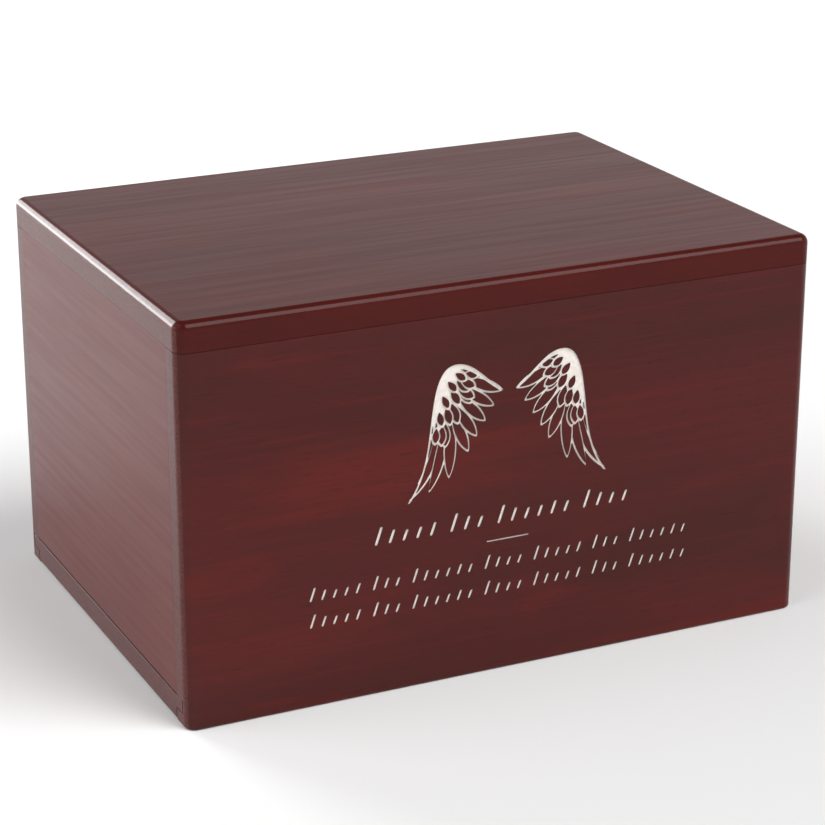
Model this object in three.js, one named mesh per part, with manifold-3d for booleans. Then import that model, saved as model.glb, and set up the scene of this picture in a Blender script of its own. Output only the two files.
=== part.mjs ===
// Cremation urn box: a hollow wooden box with a bottom panel that slides out at the left end.
// Units are millimetres. +X runs along the long front, the front faces -Y, +Z is up, and the
// origin is at the middle of the underside.
import * as THREE from "three";
import Module from "manifold-3d";
import { mergeVertices } from "three/addons/utils/BufferGeometryUtils.js";

const wasm = await Module();
wasm.setup();

// Overall size and boards
const LENGTH = 222.25;
const DEPTH = 158.75;
const HEIGHT = 133.35;
const WALL = 9.5;
const TOP_THICKNESS = 9.5;
const GLUE_LINE = 0.1;

// Rounding of the outer edges
const UPRIGHT_EDGE_RADIUS = 4;
const TOP_EDGE_RADIUS = 3;
const BOTTOM_EDGE_RADIUS = 1;
const ARC_STEPS = 4;

// Sliding bottom panel with a tongue on both long sides
const PANEL_RECESS = 1;
const PANEL_LOWER_THICKNESS = 3.8;
const TONGUE_THICKNESS = 4.1;
const GROOVE_DEPTH = 5.2;
const CLEARANCE_BESIDE = 0.4;
const CLEARANCE_UNDER = 0.15;
const CLEARANCE_OVER = 0.35;
const CLEARANCE_AT_STOP = 0.5;
const GAP_OVER_PANEL = 0.7;
const PANEL_END_BEVEL = 0.5;

// Engraving on the front: its depth, and where its parts stand as shares of the front's height
const ENGRAVING_DEPTH = 0.4;
const WING_HEIGHT = 44.2;
const WING_DRAWN_HEIGHT = 44.2;
const WING_SIZE = WING_HEIGHT / WING_DRAWN_HEIGHT;
const WING_FOOT_SHARE = 0.475;
const FEATHER_LINE = 0.66 * WING_SIZE;
const LEADING_BAND = 2.5 * WING_SIZE;
const BAND_SHOULDER = 0.33;
const BAND_SPREAD = 0.19;
const INSET_AT_ROOT = 1.2;
const INSET_AT_TIP = 1.5;
const FLIGHT_STEPS = 8;
const COVERT_STEPS = 5;
const BAND_STEPS = 22;

// Rows of strokes: where each row stands, how long it is, how tall and how far apart its strokes are
const STROKE_ROWS = [
  { heightShare: 0.385, length: 94, stroke: 6.2, pitch: 4.8, width: 1.1 },
  { heightShare: 0.272, length: 139, stroke: 4.8, pitch: 3.95, width: 0.9 },
  { heightShare: 0.204, length: 139, stroke: 4.8, pitch: 3.95, width: 0.9 },
];
const STROKE_SLANT = 0.28;
const STROKES_IN_GROUPS = [5, 3, 6, 4];
const SHORT_STROKE_SHARES = [0.62, 0.74, 0.62];
const RULE_HEIGHT_SHARE = 0.341;
const RULE_LENGTH = 15.3;
const RULE_WIDTH = 0.6;

// Places that several pieces share
const LEFT = -LENGTH / 2;
const RIGHT = LENGTH / 2;
const FRONT = -DEPTH / 2;
const REAR = DEPTH / 2;
const TOP_SEAM = HEIGHT - TOP_THICKNESS;
const INNER_RIGHT = RIGHT - WALL;
const INNER_FRONT = FRONT + WALL;
const INNER_REAR = REAR - WALL;
const TONGUE_BOTTOM = PANEL_RECESS + PANEL_LOWER_THICKNESS;
const TONGUE_TOP = TONGUE_BOTTOM + TONGUE_THICKNESS;
const OVERRUN = 5;

// Solids from geometries, and back

function solidFrom(geometry) {
  const bare = geometry.clone();
  bare.deleteAttribute("normal");
  bare.deleteAttribute("uv");
  const merged = mergeVertices(bare, 1e-4);
  return new wasm.Manifold(new wasm.Mesh({
    numProp: 3,
    vertProperties: new Float32Array(merged.attributes.position.array),
    triVerts: new Uint32Array(merged.index.array),
  }));
}

function geometryFrom(solid) {
  const mesh = solid.getMesh();
  const geometry = new THREE.BufferGeometry();
  geometry.setAttribute("position", new THREE.BufferAttribute(mesh.vertProperties, 3));
  geometry.setIndex(new THREE.BufferAttribute(mesh.triVerts, 1));
  geometry.computeVertexNormals();
  return geometry;
}

function block(x0, x1, y0, y1, z0, z1) {
  const geometry = new THREE.BoxGeometry(x1 - x0, y1 - y0, z1 - z0);
  geometry.translate((x0 + x1) / 2, (y0 + y1) / 2, (z0 + z1) / 2);
  return solidFrom(geometry);
}

// The outside of the glued-up box, rounded as one after gluing

function roundedPlan() {
  const r = UPRIGHT_EDGE_RADIUS;
  const plan = new THREE.Shape();
  plan.moveTo(LEFT + r, FRONT);
  plan.absarc(RIGHT - r, FRONT + r, r, -Math.PI / 2, 0);
  plan.absarc(RIGHT - r, REAR - r, r, 0, Math.PI / 2);
  plan.absarc(LEFT + r, REAR - r, r, Math.PI / 2, Math.PI);
  plan.absarc(LEFT + r, FRONT + r, r, Math.PI, 1.5 * Math.PI);
  return plan;
}

function planBlock(low, high, edgeRadius) {
  const geometry = new THREE.ExtrudeGeometry(roundedPlan(), {
    depth: high - low - 2 * edgeRadius,
    bevelThickness: edgeRadius,
    bevelSize: edgeRadius,
    bevelOffset: -edgeRadius,
    bevelSegments: ARC_STEPS,
    curveSegments: ARC_STEPS,
  });
  geometry.translate(0, 0, low + edgeRadius);
  return solidFrom(geometry);
}

function outside() {
  const roundedAbove = planBlock(-OVERRUN, HEIGHT, TOP_EDGE_RADIUS);
  const easedBelow = planBlock(0, HEIGHT + OVERRUN, BOTTOM_EDGE_RADIUS);
  return roundedAbove.intersect(easedBelow);
}

const BOX_OUTSIDE = outside();

// Groove for the panel's tongue, from the left end to the right end board's inner face

function groove(innerFace, towardsWall) {
  const bottomOfGroove = innerFace + towardsWall * GROOVE_DEPTH;
  const pastInnerFace = innerFace - towardsWall * OVERRUN;
  return block(
    LEFT - OVERRUN, INNER_RIGHT,
    Math.min(bottomOfGroove, pastInnerFace), Math.max(bottomOfGroove, pastInnerFace),
    TONGUE_BOTTOM - CLEARANCE_UNDER, TONGUE_TOP + CLEARANCE_OVER,
  );
}

// Engraving: prisms drawn in the plane of the front, x to the right and y up

function prism(points) {
  const shape = new THREE.Shape(points);
  return solidFrom(new THREE.ExtrudeGeometry(shape, { depth: 1, bevelEnabled: false }));
}

// A leaf-shaped outline between its root and its tip; inset gives the outline inside the cut line
function featherOutline(root, tip, width, bow, steps, inset) {
  const along = tip.clone().sub(root).normalize();
  const start = root.clone().addScaledVector(along, INSET_AT_ROOT * inset);
  const end = tip.clone().addScaledVector(along, -INSET_AT_TIP * inset);
  const span = end.clone().sub(start);
  const side = new THREE.Vector2(-along.y, along.x);
  const halfWidth = width / 2 - inset;
  const point = (step, sign) => {
    const t = (1 - Math.cos(Math.PI * step / steps)) / 2;
    const swell = Math.sin(Math.PI * t ** 1.2) ** 0.7;
    const offset = bow * span.length() * 4 * t * (1 - t) + sign * halfWidth * swell;
    return start.clone().addScaledVector(span, t).addScaledVector(side, offset);
  };
  const outline = [start.clone()];
  for (let i = 1; i < steps; i += 1) outline.push(point(i, -1));
  outline.push(end.clone());
  for (let i = steps - 1; i > 0; i -= 1) outline.push(point(i, 1));
  return outline;
}

function mix(a, b, t) {
  return a + (b - a) * t;
}

// The wing's leading edge, from its inner tip over the shoulder to its outer tip
function leadingEdge() {
  const edge = new THREE.Path();
  const s = WING_SIZE;
  edge.moveTo(2 * s, 33.4 * s);
  edge.bezierCurveTo(9 * s, 38 * s, 12.5 * s, 44.2 * s, 18.7 * s, 44.2 * s);
  edge.bezierCurveTo(25.4 * s, 44.2 * s, 26.5 * s, 34 * s, 27.6 * s, 25.5 * s);
  edge.bezierCurveTo(28.7 * s, 17 * s, 29.5 * s, 8 * s, 35.9 * s, 0);
  return edge;
}

// A point of the leading edge, moved into the wing
function insideEdge(t, distance) {
  const edge = leadingEdge();
  const tangent = edge.getTangent(t);
  return edge.getPoint(t).addScaledVector(new THREE.Vector2(tangent.y, -tangent.x), distance);
}

// The right wing's feathers, the lowest first, in the units of the drawn wing
function wingFeathers() {
  const at = (x, y) => new THREE.Vector2(x * WING_SIZE, y * WING_SIZE);
  const feathers = [];
  const primaries = 3;
  for (let i = primaries - 1; i >= 0; i -= 1) {
    const t = i / (primaries - 1);
    const root = at(mix(20.4, 25.4, t), mix(29, 27, t));
    const tip = at(mix(21.2, 35.2, t), mix(6.4, 0.8, t ** 0.6));
    const width = mix(4.7, 3.6, t) * WING_SIZE;
    feathers.push({ root, tip, width, bow: mix(0, -0.115, t), steps: FLIGHT_STEPS });
  }
  const secondaries = 5;
  for (let i = secondaries - 1; i >= 0; i -= 1) {
    const t = i / (secondaries - 1);
    const root = at(mix(17, 20.5, t), mix(40.2, 28.5, t));
    const tip = at(mix(2.3, 14.3, t), mix(33.2, 14.3, t));
    feathers.push({ root, tip, width: 4.4 * WING_SIZE, bow: mix(0.03, 0, t), steps: FLIGHT_STEPS });
  }
  const covertRows = [
    { count: 4, inset: [8.6, 5.6], along: [0.3, 0.6], length: [7.6, 8.6], width: 4, lean: [3.72, 4.74] },
    { count: 5, inset: [6, 4.6], along: [0.25, 0.61], length: [6.4, 7.4], width: 3.7, lean: [3.62, 4.76] },
    { count: 6, inset: [3.3, 2.7], along: [0.235, 0.62], length: [5.4, 6.2], width: 3.3, lean: [3.5, 4.8] },
  ];
  for (const row of covertRows) {
    for (let i = row.count - 1; i >= 0; i -= 1) {
      const t = i / (row.count - 1);
      const root = insideEdge(mix(...row.along, t), mix(...row.inset, t) * WING_SIZE);
      const length = mix(...row.length, t) * WING_SIZE;
      const lean = mix(...row.lean, t);
      const tip = new THREE.Vector2(Math.cos(lean), Math.sin(lean)).multiplyScalar(length).add(root);
      feathers.push({ root, tip, width: row.width * WING_SIZE, bow: 0, steps: COVERT_STEPS });
    }
  }
  return feathers;
}

// The band along the leading edge, broadest at the shoulder
function leadingBand() {
  const outer = [];
  const inner = [];
  const edge = leadingEdge();
  for (let i = 0; i <= BAND_STEPS; i += 1) {
    const t = i / BAND_STEPS;
    const swell = Math.exp(-(((t - BAND_SHOULDER) / BAND_SPREAD) ** 2));
    const breadth = mix(1.2 * FEATHER_LINE, LEADING_BAND, swell);
    outer.push(edge.getPoint(t));
    if (i > 0 && i < BAND_STEPS) inner.unshift(insideEdge(t, breadth));
  }
  return outer.concat(inner);
}

function rightWing() {
  const underFeathers = [
    [18, 43], [12.5, 38.6], [13.6, 33], [16.5, 25], [19.2, 20], [27.2, 19], [26.2, 33], [22.6, 41],
  ];
  let cut = prism(underFeathers.map(([x, y]) => new THREE.Vector2(x * WING_SIZE, y * WING_SIZE)));
  for (const { root, tip, width, bow, steps } of wingFeathers()) {
    const whole = prism(featherOutline(root, tip, width, bow, steps, 0));
    const island = prism(featherOutline(root, tip, width, bow, steps, FEATHER_LINE));
    cut = cut.add(whole).subtract(island);
  }
  return cut.add(prism(leadingBand()));
}

// One row: groups of slanted strokes, the first of each group the tallest
function strokeRow({ length, stroke, pitch, width }, baseline) {
  const strokes = [];
  let x = -length / 2;
  let group = 0;
  let placeInGroup = 0;
  while (x + pitch < length / 2) {
    const short = SHORT_STROKE_SHARES[placeInGroup % SHORT_STROKE_SHARES.length];
    const tall = placeInGroup === 0 ? stroke : stroke * short;
    const lean = tall * STROKE_SLANT;
    strokes.push(prism([
      new THREE.Vector2(x, baseline),
      new THREE.Vector2(x + width, baseline),
      new THREE.Vector2(x + width + lean, baseline + tall),
      new THREE.Vector2(x + lean, baseline + tall),
    ]));
    placeInGroup += 1;
    x += pitch;
    if (placeInGroup === STROKES_IN_GROUPS[group % STROKES_IN_GROUPS.length]) {
      group += 1;
      placeInGroup = 0;
      x += pitch / 2;
    }
  }
  return strokes;
}

function rule(height) {
  return prism([
    new THREE.Vector2(-RULE_LENGTH / 2, height),
    new THREE.Vector2(RULE_LENGTH / 2, height),
    new THREE.Vector2(RULE_LENGTH / 2, height + RULE_WIDTH),
    new THREE.Vector2(-RULE_LENGTH / 2, height + RULE_WIDTH),
  ]);
}

// The engraving's cutter, from in front of the face down to its floor
function engraving() {
  const wing = rightWing().translate([0, HEIGHT * WING_FOOT_SHARE, 0]);
  const pieces = [wing, wing.mirror([1, 0, 0]), rule(HEIGHT * RULE_HEIGHT_SHARE)];
  for (const row of STROKE_ROWS) pieces.push(...strokeRow(row, HEIGHT * row.heightShare));
  const cutter = wasm.Manifold.union(pieces);
  const depth = ENGRAVING_DEPTH + OVERRUN;
  return cutter.scale([1, 1, depth]).rotate([90, 0, 0]).translate([0, FRONT + ENGRAVING_DEPTH, 0]);
}

// Boards

function topBoard() {
  return block(LEFT, RIGHT, FRONT, REAR, TOP_SEAM, HEIGHT).intersect(BOX_OUTSIDE);
}

function frontBoard() {
  return block(LEFT, RIGHT, FRONT, INNER_FRONT, 0, TOP_SEAM - GLUE_LINE)
    .intersect(BOX_OUTSIDE)
    .subtract(groove(INNER_FRONT, -1))
    .subtract(engraving());
}

function rearBoard() {
  return block(LEFT, RIGHT, INNER_REAR, REAR, 0, TOP_SEAM - GLUE_LINE)
    .intersect(BOX_OUTSIDE)
    .subtract(groove(INNER_REAR, 1));
}

function endBoard(x0, x1, bottom) {
  return block(x0, x1, INNER_FRONT + GLUE_LINE, INNER_REAR - GLUE_LINE, bottom, TOP_SEAM - GLUE_LINE)
    .intersect(BOX_OUTSIDE);
}

// The panel's section, tongue above and narrower part below, pushed along the box
function bottomPanel() {
  const tongueSide = INNER_REAR + GROOVE_DEPTH - CLEARANCE_BESIDE;
  const lowerSide = INNER_REAR - CLEARANCE_BESIDE;
  const section = new THREE.Shape([
    new THREE.Vector2(-lowerSide, PANEL_RECESS),
    new THREE.Vector2(lowerSide, PANEL_RECESS),
    new THREE.Vector2(lowerSide, TONGUE_BOTTOM),
    new THREE.Vector2(tongueSide, TONGUE_BOTTOM),
    new THREE.Vector2(tongueSide, TONGUE_TOP),
    new THREE.Vector2(-tongueSide, TONGUE_TOP),
    new THREE.Vector2(-tongueSide, TONGUE_BOTTOM),
    new THREE.Vector2(-lowerSide, TONGUE_BOTTOM),
  ]);
  const length = INNER_RIGHT - CLEARANCE_AT_STOP - LEFT;
  const board = solidFrom(new THREE.ExtrudeGeometry(section, { depth: length, bevelEnabled: false }))
    .rotate([90, 0, 0])
    .rotate([0, 0, 90])
    .translate([LEFT, 0, 0]);
  const corner = new THREE.Shape([
    new THREE.Vector2(-OVERRUN, 0),
    new THREE.Vector2(-OVERRUN, OVERRUN),
    new THREE.Vector2(OVERRUN, OVERRUN),
  ]);
  const bevel = solidFrom(new THREE.ExtrudeGeometry(corner, { depth: DEPTH, bevelEnabled: false }))
    .rotate([90, 0, 0])
    .translate([LEFT, REAR, TONGUE_TOP - PANEL_END_BEVEL]);
  return board.subtract(bevel);
}

// Materials: red wood under a clear gloss, and the paler grain of cut ends

function lacqueredWood(colour) {
  return new THREE.MeshStandardMaterial({ color: colour, roughness: 0.22, metalness: 0 });
}

const FACE_WOOD = lacqueredWood(0x5a2a28);
const TOP_WOOD = lacqueredWood(0x5e302d);
const END_WOOD = lacqueredWood(0x63302e);
const PANEL_WOOD = lacqueredWood(0x4e2624);

function piece(name, solid, material) {
  const mesh = new THREE.Mesh(geometryFrom(solid), material);
  mesh.name = name;
  return mesh;
}

const LEFT_END_BOTTOM = TONGUE_TOP + GAP_OVER_PANEL;

const urnBox = new THREE.Group();
urnBox.add(
  piece("top_board", topBoard(), TOP_WOOD),
  piece("front_board", frontBoard(), FACE_WOOD),
  piece("rear_board", rearBoard(), FACE_WOOD),
  piece("left_end_board", endBoard(LEFT, LEFT + WALL, LEFT_END_BOTTOM), END_WOOD),
  piece("right_end_board", endBoard(INNER_RIGHT, RIGHT, 0), END_WOOD),
  piece("bottom_panel", bottomPanel(), PANEL_WOOD),
);

export default urnBox;
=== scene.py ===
"""Dresses the urn box: lacquered red-brown boards, the engraved front, floor, light and camera."""
import math

import bmesh
import bpy
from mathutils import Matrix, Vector
from mathutils.geometry import delaunay_2d_cdt


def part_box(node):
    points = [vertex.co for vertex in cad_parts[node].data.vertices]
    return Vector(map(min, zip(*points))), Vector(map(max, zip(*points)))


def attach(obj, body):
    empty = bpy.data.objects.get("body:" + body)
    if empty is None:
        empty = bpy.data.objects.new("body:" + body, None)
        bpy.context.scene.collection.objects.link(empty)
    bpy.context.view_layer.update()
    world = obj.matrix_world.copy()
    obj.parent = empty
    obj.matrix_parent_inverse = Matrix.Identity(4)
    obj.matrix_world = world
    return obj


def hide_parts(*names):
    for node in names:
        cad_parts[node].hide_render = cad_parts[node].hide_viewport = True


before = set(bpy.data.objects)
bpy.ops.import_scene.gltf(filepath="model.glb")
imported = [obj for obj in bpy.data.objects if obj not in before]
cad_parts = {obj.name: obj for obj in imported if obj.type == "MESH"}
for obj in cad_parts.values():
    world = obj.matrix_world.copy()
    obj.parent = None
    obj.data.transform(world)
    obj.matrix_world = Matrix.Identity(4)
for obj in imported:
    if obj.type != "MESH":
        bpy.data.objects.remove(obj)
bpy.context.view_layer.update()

MM = 0.001

# Sizes taken from the frame
TOP_LOW, TOP_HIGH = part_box("top_board")
FRONT_LOW, FRONT_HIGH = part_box("front_board")
REAR_LOW, REAR_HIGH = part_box("rear_board")
LEFT_LOW, LEFT_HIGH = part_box("left_end_board")
RIGHT_LOW, RIGHT_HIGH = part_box("right_end_board")
PANEL_LOW, PANEL_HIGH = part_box("bottom_panel")
HEIGHT = TOP_HIGH.z

# Rounding of the outside, as in the solids
UPRIGHT_EDGE_RADIUS = 4 * MM
TOP_EDGE_RADIUS = 3 * MM
BOTTOM_EDGE_RADIUS = 1 * MM
ARC_STEPS = 12
EASED_JOINT = 0.08 * MM
GLUE_LINE = 0.1 * MM
PANEL_EDGE = 0.12 * MM
SHARP_EDGE_ANGLE = 60
SHADING_ANGLE = 32
BEYOND = 1

# The panel's section and its grooves
TONGUE_THICKNESS = 4.1 * MM
GROOVE_DEPTH = 5.2 * MM
CLEARANCE_BESIDE = 0.4 * MM
CLEARANCE_UNDER = 0.15 * MM
CLEARANCE_OVER = 0.35 * MM
OVERRUN = 5 * MM

# The engraving
ENGRAVING_DEPTH = 0.4 * MM
WING_FOOT_SHARE = 0.475
FEATHER_LINE = 0.66
LEADING_BAND = 1.9
BAND_SHOULDER = 0.33
BAND_SPREAD = 0.19
INSET_AT_ROOT = 1.2
INSET_AT_TIP = 1.5
FLIGHT_STEPS = 22
COVERT_STEPS = 14
BAND_STEPS = 72
STROKE_ROWS = (
    dict(height_share=0.385, length=94, stroke=6.2, pitch=4.8, width=1.1),
    dict(height_share=0.272, length=139, stroke=4.8, pitch=3.95, width=0.9),
    dict(height_share=0.204, length=139, stroke=4.8, pitch=3.95, width=0.9),
)
STROKE_SLANT = 0.28
STROKE_END_STEPS = 8
STROKES_IN_GROUPS = (5, 3, 6, 4)
SHORT_STROKE_SHARES = (0.62, 0.74, 0.62)
RULE_HEIGHT_SHARE = 0.341
RULE_LENGTH = 15.3
RULE_WIDTH = 0.6


def srgb(red, green, blue):
    """A colour given as 0 to 255, in the linear values that shaders take."""
    def linear(value):
        share = value / 255
        return share / 12.92 if share <= 0.04045 else ((share + 0.055) / 1.055) ** 2.4
    return (linear(red), linear(green), linear(blue), 1)


# Depths of the surface's relief, and how strongly clear lacquer shines
GRAIN_DEPTH = 0.05 * MM
RIPPLE_DEPTH = 0.2 * MM
GLOSS = 0.65
END_GLOSS = 0.58
TOP_GLOSS = 0.34


# Shader nodes

def add_node(tree, kind, **inputs):
    """Adds a node and sets the named inputs, or links them where the value is a socket."""
    made = tree.nodes.new(kind)
    for name, value in inputs.items():
        socket = made.inputs[name]
        if isinstance(value, bpy.types.NodeSocket):
            tree.links.new(value, socket)
        else:
            socket.default_value = value
    return made


def new_material(name):
    material = bpy.data.materials.new(name)
    material.use_nodes = True
    tree = material.node_tree
    tree.nodes.clear()
    shader = tree.nodes.new("ShaderNodeBsdfPrincipled")
    output = tree.nodes.new("ShaderNodeOutputMaterial")
    tree.links.new(shader.outputs["BSDF"], output.inputs["Surface"])
    return material, tree, shader


def ramp(tree, factor, low, high, from_value=0.0, to_value=1.0):
    """A smooth change from one value to another as the factor crosses a range."""
    made = tree.nodes.new("ShaderNodeMapRange")
    made.interpolation_type = "SMOOTHSTEP"
    made.inputs["From Min"].default_value = low
    made.inputs["From Max"].default_value = high
    made.inputs["To Min"].default_value = from_value
    made.inputs["To Max"].default_value = to_value
    tree.links.new(factor, made.inputs["Value"])
    return made.outputs["Result"]


def mixed(tree, factor, first, second):
    made = tree.nodes.new("ShaderNodeMix")
    made.data_type = "RGBA"
    for name, value in (("Factor", factor), ("A", first), ("B", second)):
        sockets = [s for s in made.inputs if s.name == name and s.enabled]
        if isinstance(value, bpy.types.NodeSocket):
            tree.links.new(value, sockets[0])
        else:
            sockets[0].default_value = value
    return [s for s in made.outputs if s.enabled][0]


def grain_noise(tree, place, grain_axis, along, across, detail=3.0, distortion=0.0, rough=0.55):
    """Noise drawn out along the grain; along and across are its scales, in cycles a metre."""
    scale = [across, across, across]
    scale[grain_axis] = along
    stretched = add_node(tree, "ShaderNodeMapping", Vector=place, Scale=scale)
    noise = add_node(
        tree, "ShaderNodeTexNoise", Vector=stretched.outputs["Vector"],
        Scale=1.0, Detail=detail, Distortion=distortion, Roughness=rough,
    )
    return noise.outputs["Fac"]


def add_lacquer(tree, shader, place, gloss):
    """A clear gloss coat with the faint ripple of sprayed lacquer."""
    ripple = add_node(tree, "ShaderNodeTexNoise", Vector=place, Scale=70.0, Detail=2.0)
    bump = add_node(
        tree, "ShaderNodeBump", Strength=0.04, Distance=RIPPLE_DEPTH, Height=ripple.outputs["Fac"],
    )
    tree.links.new(bump.outputs["Normal"], shader.inputs["Coat Normal"])
    shader.inputs["Specular IOR Level"].default_value = 0.06
    shader.inputs["IOR"].default_value = 1.4
    shader.inputs["Coat Weight"].default_value = gloss
    shader.inputs["Coat IOR"].default_value = 1.36
    shader.inputs["Coat Roughness"].default_value = 0.06


def lacquered_wood(name, grain_axis, tones, offset, contrast, gloss):
    """Stained wood under clear gloss: broad figure, fine streaks and short pores."""
    dark, mid, warm = tones
    material, tree, shader = new_material(name)
    where = tree.nodes.new("ShaderNodeTexCoord").outputs["Object"]
    place = add_node(tree, "ShaderNodeMapping", Vector=where, Location=offset).outputs["Vector"]
    figure = grain_noise(tree, place, grain_axis, 5, 26, detail=3, distortion=0.5)
    patches = grain_noise(tree, place, grain_axis, 9, 40, detail=3, distortion=0.4)
    streaks = grain_noise(tree, place, grain_axis, 14, 420, detail=4)
    pores = grain_noise(tree, place, grain_axis, 120, 2400, detail=2)
    half = 0.5 * contrast
    colour = mixed(tree, ramp(tree, figure, 0.36, 0.64, 0.5 - half, 0.5 + half), dark, mid)
    colour = mixed(tree, ramp(tree, patches, 0.5, 0.75, 0, 0.7 * contrast), colour, warm)
    colour = mixed(tree, ramp(tree, streaks, 0.3, 0.52, 0.4 * contrast, 0), colour, dark)
    colour = mixed(tree, ramp(tree, streaks, 0.56, 0.74, 0, 0.35 * contrast), colour, warm)
    deep = tuple(0.5 * c for c in dark[:3]) + (1,)
    colour = mixed(tree, ramp(tree, pores, 0.6, 0.7, 0, 0.45 * contrast), colour, deep)
    tree.links.new(colour, shader.inputs["Base Color"])
    tree.links.new(ramp(tree, streaks, 0.3, 0.7, 0.42, 0.3), shader.inputs["Roughness"])
    grain_bump = add_node(tree, "ShaderNodeBump", Strength=0.1, Distance=GRAIN_DEPTH, Height=streaks)
    tree.links.new(grain_bump.outputs["Normal"], shader.inputs["Normal"])
    add_lacquer(tree, shader, place, gloss)
    return material


def end_grain(name, tone, line_tone):
    """Cut ends of boards: fine specks and short lines instead of long grain."""
    material, tree, shader = new_material(name)
    where = tree.nodes.new("ShaderNodeTexCoord").outputs["Object"]
    specks = add_node(tree, "ShaderNodeTexNoise", Vector=where, Scale=1500.0, Detail=3.0)
    lines = grain_noise(tree, where, 1, 90, 420, detail=3)
    colour = mixed(tree, ramp(tree, specks.outputs["Fac"], 0.4, 0.68), tone, line_tone)
    colour = mixed(tree, ramp(tree, lines, 0.5, 0.7, 0, 0.5), colour, line_tone)
    tree.links.new(colour, shader.inputs["Base Color"])
    shader.inputs["Roughness"].default_value = 0.4
    add_lacquer(tree, shader, where, GLOSS)
    return material


def engraving_fill():
    """Pale matt paint laid in the engraved lines."""
    material, tree, shader = new_material("engraving_fill")
    where = tree.nodes.new("ShaderNodeTexCoord").outputs["Object"]
    mottle = add_node(tree, "ShaderNodeTexNoise", Vector=where, Scale=700.0, Detail=3.0)
    fade = ramp(tree, mottle.outputs["Fac"], 0.35, 0.65)
    colour = mixed(tree, fade, srgb(236, 227, 219), srgb(246, 239, 233))
    tree.links.new(colour, shader.inputs["Base Color"])
    bump = add_node(
        tree, "ShaderNodeBump", Strength=0.08, Distance=GRAIN_DEPTH, Height=mottle.outputs["Fac"],
    )
    tree.links.new(bump.outputs["Normal"], shader.inputs["Normal"])
    shader.inputs["Roughness"].default_value = 0.75
    shader.inputs["Specular IOR Level"].default_value = 0.2
    return material


# Meshes

def object_from(name, mesh_maker):
    """A new object whose mesh is made in a bmesh by the given function."""
    shape = bmesh.new()
    mesh_maker(shape)
    mesh = bpy.data.meshes.new(name)
    bmesh.ops.recalc_face_normals(shape, faces=shape.faces)
    shape.to_mesh(mesh)
    shape.free()
    made = bpy.data.objects.new(name, mesh)
    bpy.context.scene.collection.objects.link(made)
    return made


def delete(obj):
    mesh = obj.data
    bpy.data.objects.remove(obj)
    bpy.data.meshes.remove(mesh)


def settle(obj):
    """Turns the object's modifiers into its mesh."""
    scene_graph = bpy.context.evaluated_depsgraph_get()
    finished = bpy.data.meshes.new_from_object(obj.evaluated_get(scene_graph))
    old = obj.data
    obj.modifiers.clear()
    obj.data = finished
    bpy.data.meshes.remove(old)


def combine(obj, tool, operation):
    cut = obj.modifiers.new("cut", "BOOLEAN")
    cut.object = tool
    cut.operation = operation
    cut.solver = "EXACT"
    settle(obj)
    delete(tool)


def ease(obj, width, segments=2):
    """Takes the sharpness off the square edges and leaves the rounded ones alone."""
    bevel = obj.modifiers.new("eased", "BEVEL")
    bevel.width = width
    bevel.segments = segments
    bevel.limit_method = "ANGLE"
    bevel.angle_limit = math.radians(SHARP_EDGE_ANGLE)
    settle(obj)


def block(low, high):
    def make(shape):
        bmesh.ops.create_cube(shape, size=1)
        for corner in shape.verts:
            corner.co = Vector([low[i] + (corner.co[i] + 0.5) * (high[i] - low[i]) for i in range(3)])
    return object_from("block", make)


def plan_ring(inset, z):
    """The box's outline seen from above, drawn in by an inset, with its rounded upright edges."""
    points = []
    radius = max(UPRIGHT_EDGE_RADIUS - inset, 0.05 * MM)
    for quarter, (side_x, side_y) in enumerate(((1, 1), (-1, 1), (-1, -1), (1, -1))):
        centre_x = side_x * (TOP_HIGH.x - UPRIGHT_EDGE_RADIUS)
        centre_y = side_y * (TOP_HIGH.y - UPRIGHT_EDGE_RADIUS)
        for step in range(ARC_STEPS + 1):
            angle = math.pi / 2 * (quarter + step / ARC_STEPS)
            points.append((centre_x + radius * math.cos(angle), centre_y + radius * math.sin(angle), z))
    return points


def box_outside():
    """The whole outside as one rounded form, which each board is cut from."""
    rings = []
    for step in range(ARC_STEPS + 1):
        angle = math.pi / 2 * step / ARC_STEPS
        rise = BOTTOM_EDGE_RADIUS * (1 - math.cos(angle))
        rings.append((BOTTOM_EDGE_RADIUS * (1 - math.sin(angle)), rise))
    for step in range(ARC_STEPS + 1):
        angle = math.pi / 2 * step / ARC_STEPS
        drop = TOP_EDGE_RADIUS * (1 - math.sin(angle))
        rings.append((TOP_EDGE_RADIUS * (1 - math.cos(angle)), HEIGHT - drop))

    def make(shape):
        loops = [[shape.verts.new(p) for p in plan_ring(inset, z)] for inset, z in rings]
        for lower, upper in zip(loops, loops[1:]):
            for i in range(len(lower)):
                j = (i + 1) % len(lower)
                shape.faces.new((lower[i], lower[j], upper[j], upper[i]))
        shape.faces.new(loops[0])
        shape.faces.new(loops[-1])
    return object_from("outside", make)


def board(name, low, high):
    """A board as a slice of the rounded outside."""
    made = box_outside()
    made.name = name
    made.data.name = name
    combine(made, block(low, high), "INTERSECT")
    return made


def cut_groove(made, inner_face, towards_wall):
    tongue_top = PANEL_HIGH.z
    sides = sorted((inner_face + towards_wall * GROOVE_DEPTH, inner_face - towards_wall * OVERRUN))
    low = (TOP_LOW.x - OVERRUN, sides[0], tongue_top - TONGUE_THICKNESS - CLEARANCE_UNDER)
    high = (RIGHT_LOW.x, sides[1], tongue_top + CLEARANCE_OVER)
    combine(made, block(low, high), "DIFFERENCE")


# Engraving outlines, in millimetres on the front's face

def mix(a, b, t):
    return a + (b - a) * t


def bezier_point(curve, t):
    a, b, c, d = (Vector(p) for p in curve)
    u = 1 - t
    return u ** 3 * a + 3 * u * u * t * b + 3 * u * t * t * c + t ** 3 * d


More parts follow.
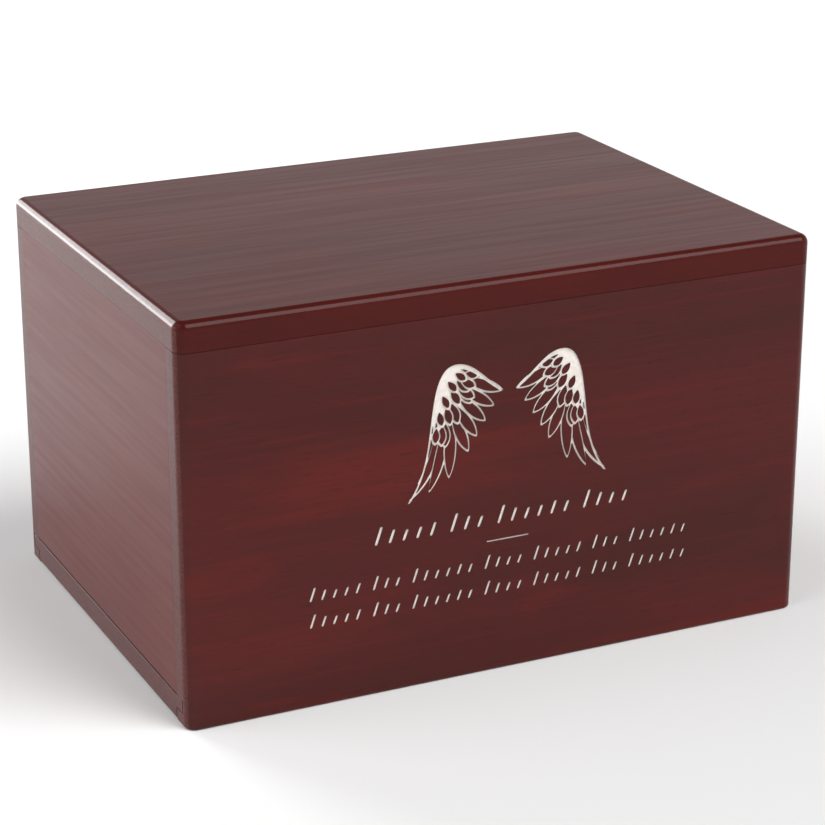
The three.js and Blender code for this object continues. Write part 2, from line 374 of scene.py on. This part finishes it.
LEADING_EDGE = (
    ((2, 33.4), (9, 38), (12.5, 44.2), (18.7, 44.2)),
    ((18.7, 44.2), (25.4, 44.2), (26.5, 34), (27.6, 25.5)),
    ((27.6, 25.5), (28.7, 17), (29.5, 8), (35.9, 0)),
)


STEPS_PER_CURVE = 80


def leading_edge_points():
    points = [Vector(LEADING_EDGE[0][0])]
    for curve in LEADING_EDGE:
        points.extend(bezier_point(curve, i / STEPS_PER_CURVE) for i in range(1, STEPS_PER_CURVE + 1))
    return points


EDGE_POINTS = leading_edge_points()
EDGE_STEPS = [(b - a).length for a, b in zip(EDGE_POINTS, EDGE_POINTS[1:])]


def inside_edge(share, distance):
    """A point a share of the way along the leading edge, moved into the wing."""
    wanted = share * sum(EDGE_STEPS)
    for i, step in enumerate(EDGE_STEPS):
        if wanted <= step or i == len(EDGE_STEPS) - 1:
            break
        wanted -= step
    tangent = (EDGE_POINTS[i + 1] - EDGE_POINTS[i]).normalized()
    inward = Vector((tangent.y, -tangent.x))
    return EDGE_POINTS[i] + tangent * min(wanted, EDGE_STEPS[i]) + inward * distance


def feather_outline(root, tip, width, bow, steps, inset):
    """A leaf-shaped outline between root and tip; inset gives the one inside the engraved line."""
    along = (tip - root).normalized()
    start = root + along * INSET_AT_ROOT * inset
    end = tip - along * INSET_AT_TIP * inset
    span = end - start
    side = Vector((-along.y, along.x))

    def point(step, sign):
        t = (1 - math.cos(math.pi * step / steps)) / 2
        swell = math.sin(math.pi * t ** 1.2) ** 0.7
        offset = bow * span.length * 4 * t * (1 - t) + sign * (width / 2 - inset) * swell
        return start + span * t + side * offset

    right_side = [point(i, -1) for i in range(1, steps)]
    left_side = [point(i, 1) for i in range(steps - 1, 0, -1)]
    return [start] + right_side + [end] + left_side


COVERT_ROWS = (
    dict(count=4, inset=(7.9, 5.2), along=(0.3, 0.6), length=(7.8, 8.8), width=4, lean=(3.72, 4.74)),
    dict(count=5, inset=(5.3, 4.1), along=(0.25, 0.61), length=(6.6, 7.6), width=3.7, lean=(3.62, 4.76)),
    dict(count=6, inset=(2.6, 2.2), along=(0.235, 0.62), length=(5.6, 6.4), width=3.4, lean=(3.5, 4.8)),
)
UNDER_FEATHERS = (
    (18, 43), (12.5, 38.6), (13.6, 33), (16.5, 25), (19.2, 20), (27.2, 19), (26.2, 33), (22.6, 41),
)


def wing_feathers():
    """The right wing's feathers, the lowest first, as (root, tip, width, bow, steps)."""
    feathers = []
    primaries = 3
    for i in reversed(range(primaries)):
        t = i / (primaries - 1)
        root = Vector((mix(20.4, 25.4, t), mix(29, 27, t)))
        tip = Vector((mix(21.2, 35.2, t), mix(6.4, 0.8, t ** 0.6)))
        feathers.append((root, tip, mix(4.7, 3.6, t), mix(0, -0.115, t), FLIGHT_STEPS))
    secondaries = 5
    for i in reversed(range(secondaries)):
        t = i / (secondaries - 1)
        root = Vector((mix(17, 20.5, t), mix(40.2, 28.5, t)))
        tip = Vector((mix(2.3, 14.3, t), mix(33.2, 14.3, t)))
        feathers.append((root, tip, 4.4, mix(0.03, 0, t), FLIGHT_STEPS))
    for row in COVERT_ROWS:
        for i in reversed(range(row["count"])):
            t = i / (row["count"] - 1)
            root = inside_edge(mix(*row["along"], t), mix(*row["inset"], t))
            lean = mix(*row["lean"], t)
            tip = root + Vector((math.cos(lean), math.sin(lean))) * mix(*row["length"], t)
            feathers.append((root, tip, row["width"], 0, COVERT_STEPS))
    return feathers


def leading_band():
    outer = []
    inner = []
    for i in range(BAND_STEPS + 1):
        share = i / BAND_STEPS
        swell = math.exp(-((share - BAND_SHOULDER) / BAND_SPREAD) ** 2)
        outer.append(inside_edge(share, 0))
        if 0 < i < BAND_STEPS:
            inner.append(inside_edge(share, mix(1.2 * FEATHER_LINE, LEADING_BAND, swell)))
    return outer + inner[::-1]


class Outline:
    """A closed outline that can say whether a point is inside it."""

    def __init__(self, points, engraved):
        self.points = [Vector(p) for p in points]
        self.engraved = engraved
        self.low = Vector((min(p.x for p in self.points), min(p.y for p in self.points)))
        self.high = Vector((max(p.x for p in self.points), max(p.y for p in self.points)))

    def holds(self, place):
        if not (self.low.x <= place.x <= self.high.x and self.low.y <= place.y <= self.high.y):
            return False
        inside = False
        for a, b in zip(self.points, self.points[1:] + self.points[:1]):
            if (a.y > place.y) != (b.y > place.y):
                if place.x < a.x + (b.x - a.x) * (place.y - a.y) / (b.y - a.y):
                    inside = not inside
        return inside


def wing_triangles():
    """The engraved area of the right wing: the topmost outline over a place decides it."""
    layers = [Outline(UNDER_FEATHERS, True)]
    for root, tip, width, bow, steps in wing_feathers():
        layers.append(Outline(feather_outline(root, tip, width, bow, steps, 0), True))
        layers.append(Outline(feather_outline(root, tip, width, bow, steps, FEATHER_LINE), False))
    layers.append(Outline(leading_band(), True))
    points = []
    edges = []
    for layer in layers:
        first = len(points)
        count = len(layer.points)
        points.extend(layer.points)
        edges.extend((first + i, first + (i + 1) % count) for i in range(count))
    places, _, triangles, *_ = delaunay_2d_cdt(points, edges, [], 0, 1e-4)
    kept = []
    for corners in triangles:
        middle = sum((places[c] for c in corners), Vector((0, 0))) / 3
        over = [layer for layer in layers if layer.holds(middle)]
        if over and over[-1].engraved:
            kept.append(corners)
    return places, kept


def add_prism(shape, places, triangles, depth_low, depth_high, mirrored=False):
    """Pushes a flat patch of triangles through the front's face as one closed cutter."""
    side = -1 if mirrored else 1
    used = sorted({c for corners in triangles for c in corners})
    outer = {c: shape.verts.new((side * places[c].x * MM, depth_low, places[c].y * MM)) for c in used}
    floor = {c: shape.verts.new((side * places[c].x * MM, depth_high, places[c].y * MM)) for c in used}
    borders = {}
    for corners in triangles:
        shape.faces.new([outer[c] for c in corners])
        shape.faces.new([floor[c] for c in reversed(corners)])
        for a, b in zip(corners, corners[1:] + corners[:1]):
            if (b, a) in borders:
                del borders[(b, a)]
            else:
                borders[(a, b)] = True
    for a, b in borders:
        shape.faces.new((outer[b], outer[a], floor[a], floor[b]))


def stroke_outline(x, baseline, tall, width):
    """A slanted stroke with rounded ends, standing on the baseline."""
    lean = Vector((STROKE_SLANT, 1)).normalized()
    radius = width / 2
    low = Vector((x + radius, baseline + radius))
    high = Vector((x + radius + tall * STROKE_SLANT, baseline + tall - radius))
    turn = math.atan2(lean.y, lean.x) - math.pi / 2
    points = []
    for centre, first in ((high, 0), (low, math.pi)):
        for step in range(STROKE_END_STEPS + 1):
            angle = turn + first + math.pi * step / STROKE_END_STEPS
            points.append(centre + radius * Vector((math.cos(angle), math.sin(angle))))
    return points


def stroke_row(height_share, length, stroke, pitch, width):
    baseline = HEIGHT / MM * height_share
    strokes = []
    x = -length / 2
    group = 0
    place_in_group = 0
    while x + pitch < length / 2:
        short = SHORT_STROKE_SHARES[place_in_group % len(SHORT_STROKE_SHARES)]
        tall = stroke if place_in_group == 0 else stroke * short
        strokes.append(stroke_outline(x, baseline, tall, width))
        place_in_group += 1
        x += pitch
        if place_in_group == STROKES_IN_GROUPS[group % len(STROKES_IN_GROUPS)]:
            group += 1
            place_in_group = 0
            x += pitch / 2
    return strokes


def rule_outline():
    low = HEIGHT / MM * RULE_HEIGHT_SHARE
    high = low + RULE_WIDTH
    half = RULE_LENGTH / 2
    return [Vector(p) for p in ((-half, low), (half, low), (half, high), (-half, high))]


def engraving_cutter():
    """Everything that is engraved on the front, as one cutter."""
    places, triangles = wing_triangles()
    lifted = [Vector((p.x, p.y + HEIGHT / MM * WING_FOOT_SHARE)) for p in places]
    before_face = FRONT_LOW.y - OVERRUN
    floor_level = FRONT_LOW.y + ENGRAVING_DEPTH

    def make(shape):
        add_prism(shape, lifted, triangles, before_face, floor_level)
        add_prism(shape, lifted, triangles, before_face, floor_level, mirrored=True)
        outlines = [rule_outline()]
        for row in STROKE_ROWS:
            outlines.extend(stroke_row(**row))
        for outline in outlines:
            fan = [[0, i, i + 1] for i in range(1, len(outline) - 1)]
            add_prism(shape, outline, fan, before_face, floor_level)
    return object_from("cutter", make)


# Pieces

def paint(made, materials, choose):
    """Gives each face one of the materials; choose returns its place in the list."""
    made.data.materials.clear()
    for material in materials:
        made.data.materials.append(material)
    for face in made.data.polygons:
        face.material_index = choose(face)


def finish_piece(made, node, body):
    made.data.shade_smooth()
    made.data.set_sharp_from_angle(angle=math.radians(SHADING_ANGLE))
    normals = made.modifiers.new("face normals", "WEIGHTED_NORMAL")
    normals.keep_sharp = True
    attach(made, body)
    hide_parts(node)


def is_board_end(face):
    return abs(face.normal.x) > 0.8


def make_top_board(long_grain, ends):
    low = TOP_LOW - Vector((BEYOND, BEYOND, 0))
    made = board("top_board_wood", low, TOP_HIGH + Vector((BEYOND, BEYOND, BEYOND)))
    ease(made, EASED_JOINT)
    paint(made, [long_grain, ends], lambda face: 1 if is_board_end(face) else 0)
    finish_piece(made, "top_board", "case")


def make_front_board(long_grain, ends, fill):
    low = FRONT_LOW - Vector((BEYOND, BEYOND, BEYOND))
    high = FRONT_HIGH + Vector((BEYOND, 0, 0))
    made = board("front_board_wood", low, high)
    cut_groove(made, FRONT_HIGH.y, -1)
    ease(made, EASED_JOINT)
    combine(made, engraving_cutter(), "DIFFERENCE")

    def choose(face):
        sunk = face.center.y - FRONT_LOW.y
        if abs(face.normal.y) > 0.9 and abs(sunk - ENGRAVING_DEPTH) < 0.02 * MM:
            if abs(face.center.x) < FRONT_HIGH.x - 2 * UPRIGHT_EDGE_RADIUS:
                return 2
        return 1 if is_board_end(face) and abs(face.center.x) > FRONT_HIGH.x - 2 * MM else 0

    paint(made, [long_grain, ends, fill], choose)
    finish_piece(made, "front_board", "case")


def make_rear_board(long_grain, ends):
    low = REAR_LOW - Vector((BEYOND, 0, BEYOND))
    high = REAR_HIGH + Vector((BEYOND, BEYOND, 0))
    made = board("rear_board_wood", low, high)
    cut_groove(made, REAR_LOW.y, 1)
    ease(made, EASED_JOINT)
    paint(made, [long_grain, ends], lambda face: 1 if is_board_end(face) else 0)
    finish_piece(made, "rear_board", "case")


def make_end_board(node, low, high, outward, wood):
    """An end board that fills the glue lines around it, as the finish does."""
    low = low - Vector((0, GLUE_LINE, 0))
    high = high + Vector((0, GLUE_LINE, GLUE_LINE))
    if outward < 0:
        low.x -= BEYOND
    else:
        high.x += BEYOND
        low.z -= BEYOND
    made = board(node + "_wood", low, high)
    paint(made, [wood], lambda face: 0)
    finish_piece(made, node, "case")


def make_bottom_panel(long_grain, ends):
    """The panel with a tongue along both long sides."""
    lower_side = REAR_LOW.y - CLEARANCE_BESIDE
    tongue_low = PANEL_HIGH.z - TONGUE_THICKNESS
    made = block((PANEL_LOW.x, PANEL_LOW.y, tongue_low), PANEL_HIGH)
    made.name = "bottom_panel_wood"
    made.data.name = "bottom_panel_wood"
    inside_tongue = PANEL_HIGH.z - MM
    lower = block((PANEL_LOW.x, -lower_side, PANEL_LOW.z), (PANEL_HIGH.x, lower_side, inside_tongue))
    combine(made, lower, "UNION")
    ease(made, PANEL_EDGE, segments=3)
    paint(made, [long_grain, ends], lambda face: 1 if is_board_end(face) else 0)
    finish_piece(made, "bottom_panel", "panel")


# Surroundings

FLOOR_HALF_SIZE = 12
FLOOR_PAINT = (0.9, 0.9, 0.9, 1)
WORLD_LOW = 0.76
WORLD_HIGH = 0.12


def make_floor():
    def make(shape):
        bmesh.ops.create_grid(shape, x_segments=1, y_segments=1, size=FLOOR_HALF_SIZE)
    made = object_from("floor", make)
    material, tree, shader = new_material("floor_paint")
    shader.inputs["Base Color"].default_value = FLOOR_PAINT
    shader.inputs["Roughness"].default_value = 0.9
    shader.inputs["Specular IOR Level"].default_value = 0.0
    made.data.materials.append(material)


def area_light(name, place, aim, size_x, size_y, brightness):
    """A soft rectangular light; brightness is its own radiance."""
    light = bpy.data.lights.new(name, "AREA")
    light.shape = "RECTANGLE"
    light.size = size_x
    light.size_y = size_y
    light.energy = brightness * math.pi * size_x * size_y
    made = bpy.data.objects.new(name, light)
    made.location = place
    made.rotation_euler = (Vector(aim) - Vector(place)).to_track_quat("-Z", "Y").to_euler()
    bpy.context.scene.collection.objects.link(made)


def make_world():
    """A plain studio: pale near the horizon, darker overhead."""
    world = bpy.data.worlds.new("studio")
    world.use_nodes = True
    tree = world.node_tree
    background = tree.nodes["Background"]
    direction = tree.nodes.new("ShaderNodeTexCoord").outputs["Generated"]
    height = add_node(tree, "ShaderNodeSeparateXYZ", Vector=direction).outputs["Z"]
    brightness = ramp(tree, height, 0.26, 0.5, WORLD_LOW, WORLD_HIGH)
    tree.links.new(brightness, background.inputs["Strength"])
    background.inputs["Color"].default_value = (1, 1, 1, 1)
    bpy.context.scene.world = world


def broad_sun(name, towards, strength, angle):
    """An even light from far away; towards points from the box to the light."""
    light = bpy.data.lights.new(name, "SUN")
    light.energy = strength
    light.angle = math.radians(angle)
    made = bpy.data.objects.new(name, light)
    made.rotation_euler = Vector(towards).to_track_quat("Z", "Y").to_euler()
    bpy.context.scene.collection.objects.link(made)


def make_lights():
    broad_sun("front_key", (0.4, -0.5, 0.77), 2.3, 40)
    broad_sun("left_fill", (-0.75, 0.1, 0.65), 1.0, 60)
    area_light("rear_softbox", (-0.68, 1.7, 0.6), (-0.1, 0, 0.12), 0.76, 0.95, 10)
    make_world()


# The photograph's view: the box's left end and front, seen from a little above
CAMERA_TURN = 25.4
CAMERA_RISE = 19.96
CAMERA_DISTANCE = 0.912
CAMERA_TARGET = Vector((3.7 * MM, 0, 62.1 * MM))
FOCAL_LENGTH = 115.1


def make_camera():
    turn = math.radians(CAMERA_TURN)
    rise = math.radians(CAMERA_RISE)
    back = Vector((-math.sin(turn) * math.cos(rise), -math.cos(turn) * math.cos(rise), math.sin(rise)))
    camera = bpy.data.cameras.new("camera")
    camera.lens = FOCAL_LENGTH
    camera.sensor_width = 36
    made = bpy.data.objects.new("camera", camera)
    made.location = CAMERA_TARGET + back * CAMERA_DISTANCE
    made.rotation_euler = back.to_track_quat("Z", "Y").to_euler()
    bpy.context.scene.collection.objects.link(made)
    bpy.context.scene.camera = made


make_camera()
make_lights()
make_floor()

ALONG_X, ALONG_Y = 0, 1
STAIN = (srgb(68, 20, 16), srgb(80, 22, 18), srgb(98, 24, 20))
# End boards: a brighter, redder stain than the other boards. Partly a redder piece of wood, partly
# painted light standing in for the extra light on the left end.
END_STAIN_AND_PAINTED_LIGHT = (srgb(92, 28, 25), srgb(100, 31, 27), srgb(112, 34, 30))
DEEP_STAIN = (srgb(62, 19, 16), srgb(68, 20, 16), srgb(80, 22, 18))
face_wood = lacquered_wood("face_wood", ALONG_X, STAIN, (0.13, 0.4, 0.21), 1.0, GLOSS)
top_wood = lacquered_wood("top_wood", ALONG_X, STAIN, (0.71, 0.16, 0.52), 0.4, TOP_GLOSS)
end_wood = lacquered_wood("end_wood", ALONG_Y, END_STAIN_AND_PAINTED_LIGHT, (0.37, 0.83, 0.05), 0.4, END_GLOSS)
panel_wood = lacquered_wood("panel_wood", ALONG_X, DEEP_STAIN, (0.9, 0.3, 0.6), 0.8, GLOSS)
cut_ends = end_grain("cut_ends", srgb(98, 44, 40), srgb(70, 31, 28))

make_top_board(top_wood, cut_ends)
make_front_board(face_wood, cut_ends, engraving_fill())
make_rear_board(face_wood, cut_ends)
make_end_board("left_end_board", LEFT_LOW, LEFT_HIGH, -1, end_wood)
make_end_board("right_end_board", RIGHT_LOW, RIGHT_HIGH, 1, end_wood)
make_bottom_panel(panel_wood, cut_ends)

bpy.context.scene.view_settings.view_transform = "Standard"
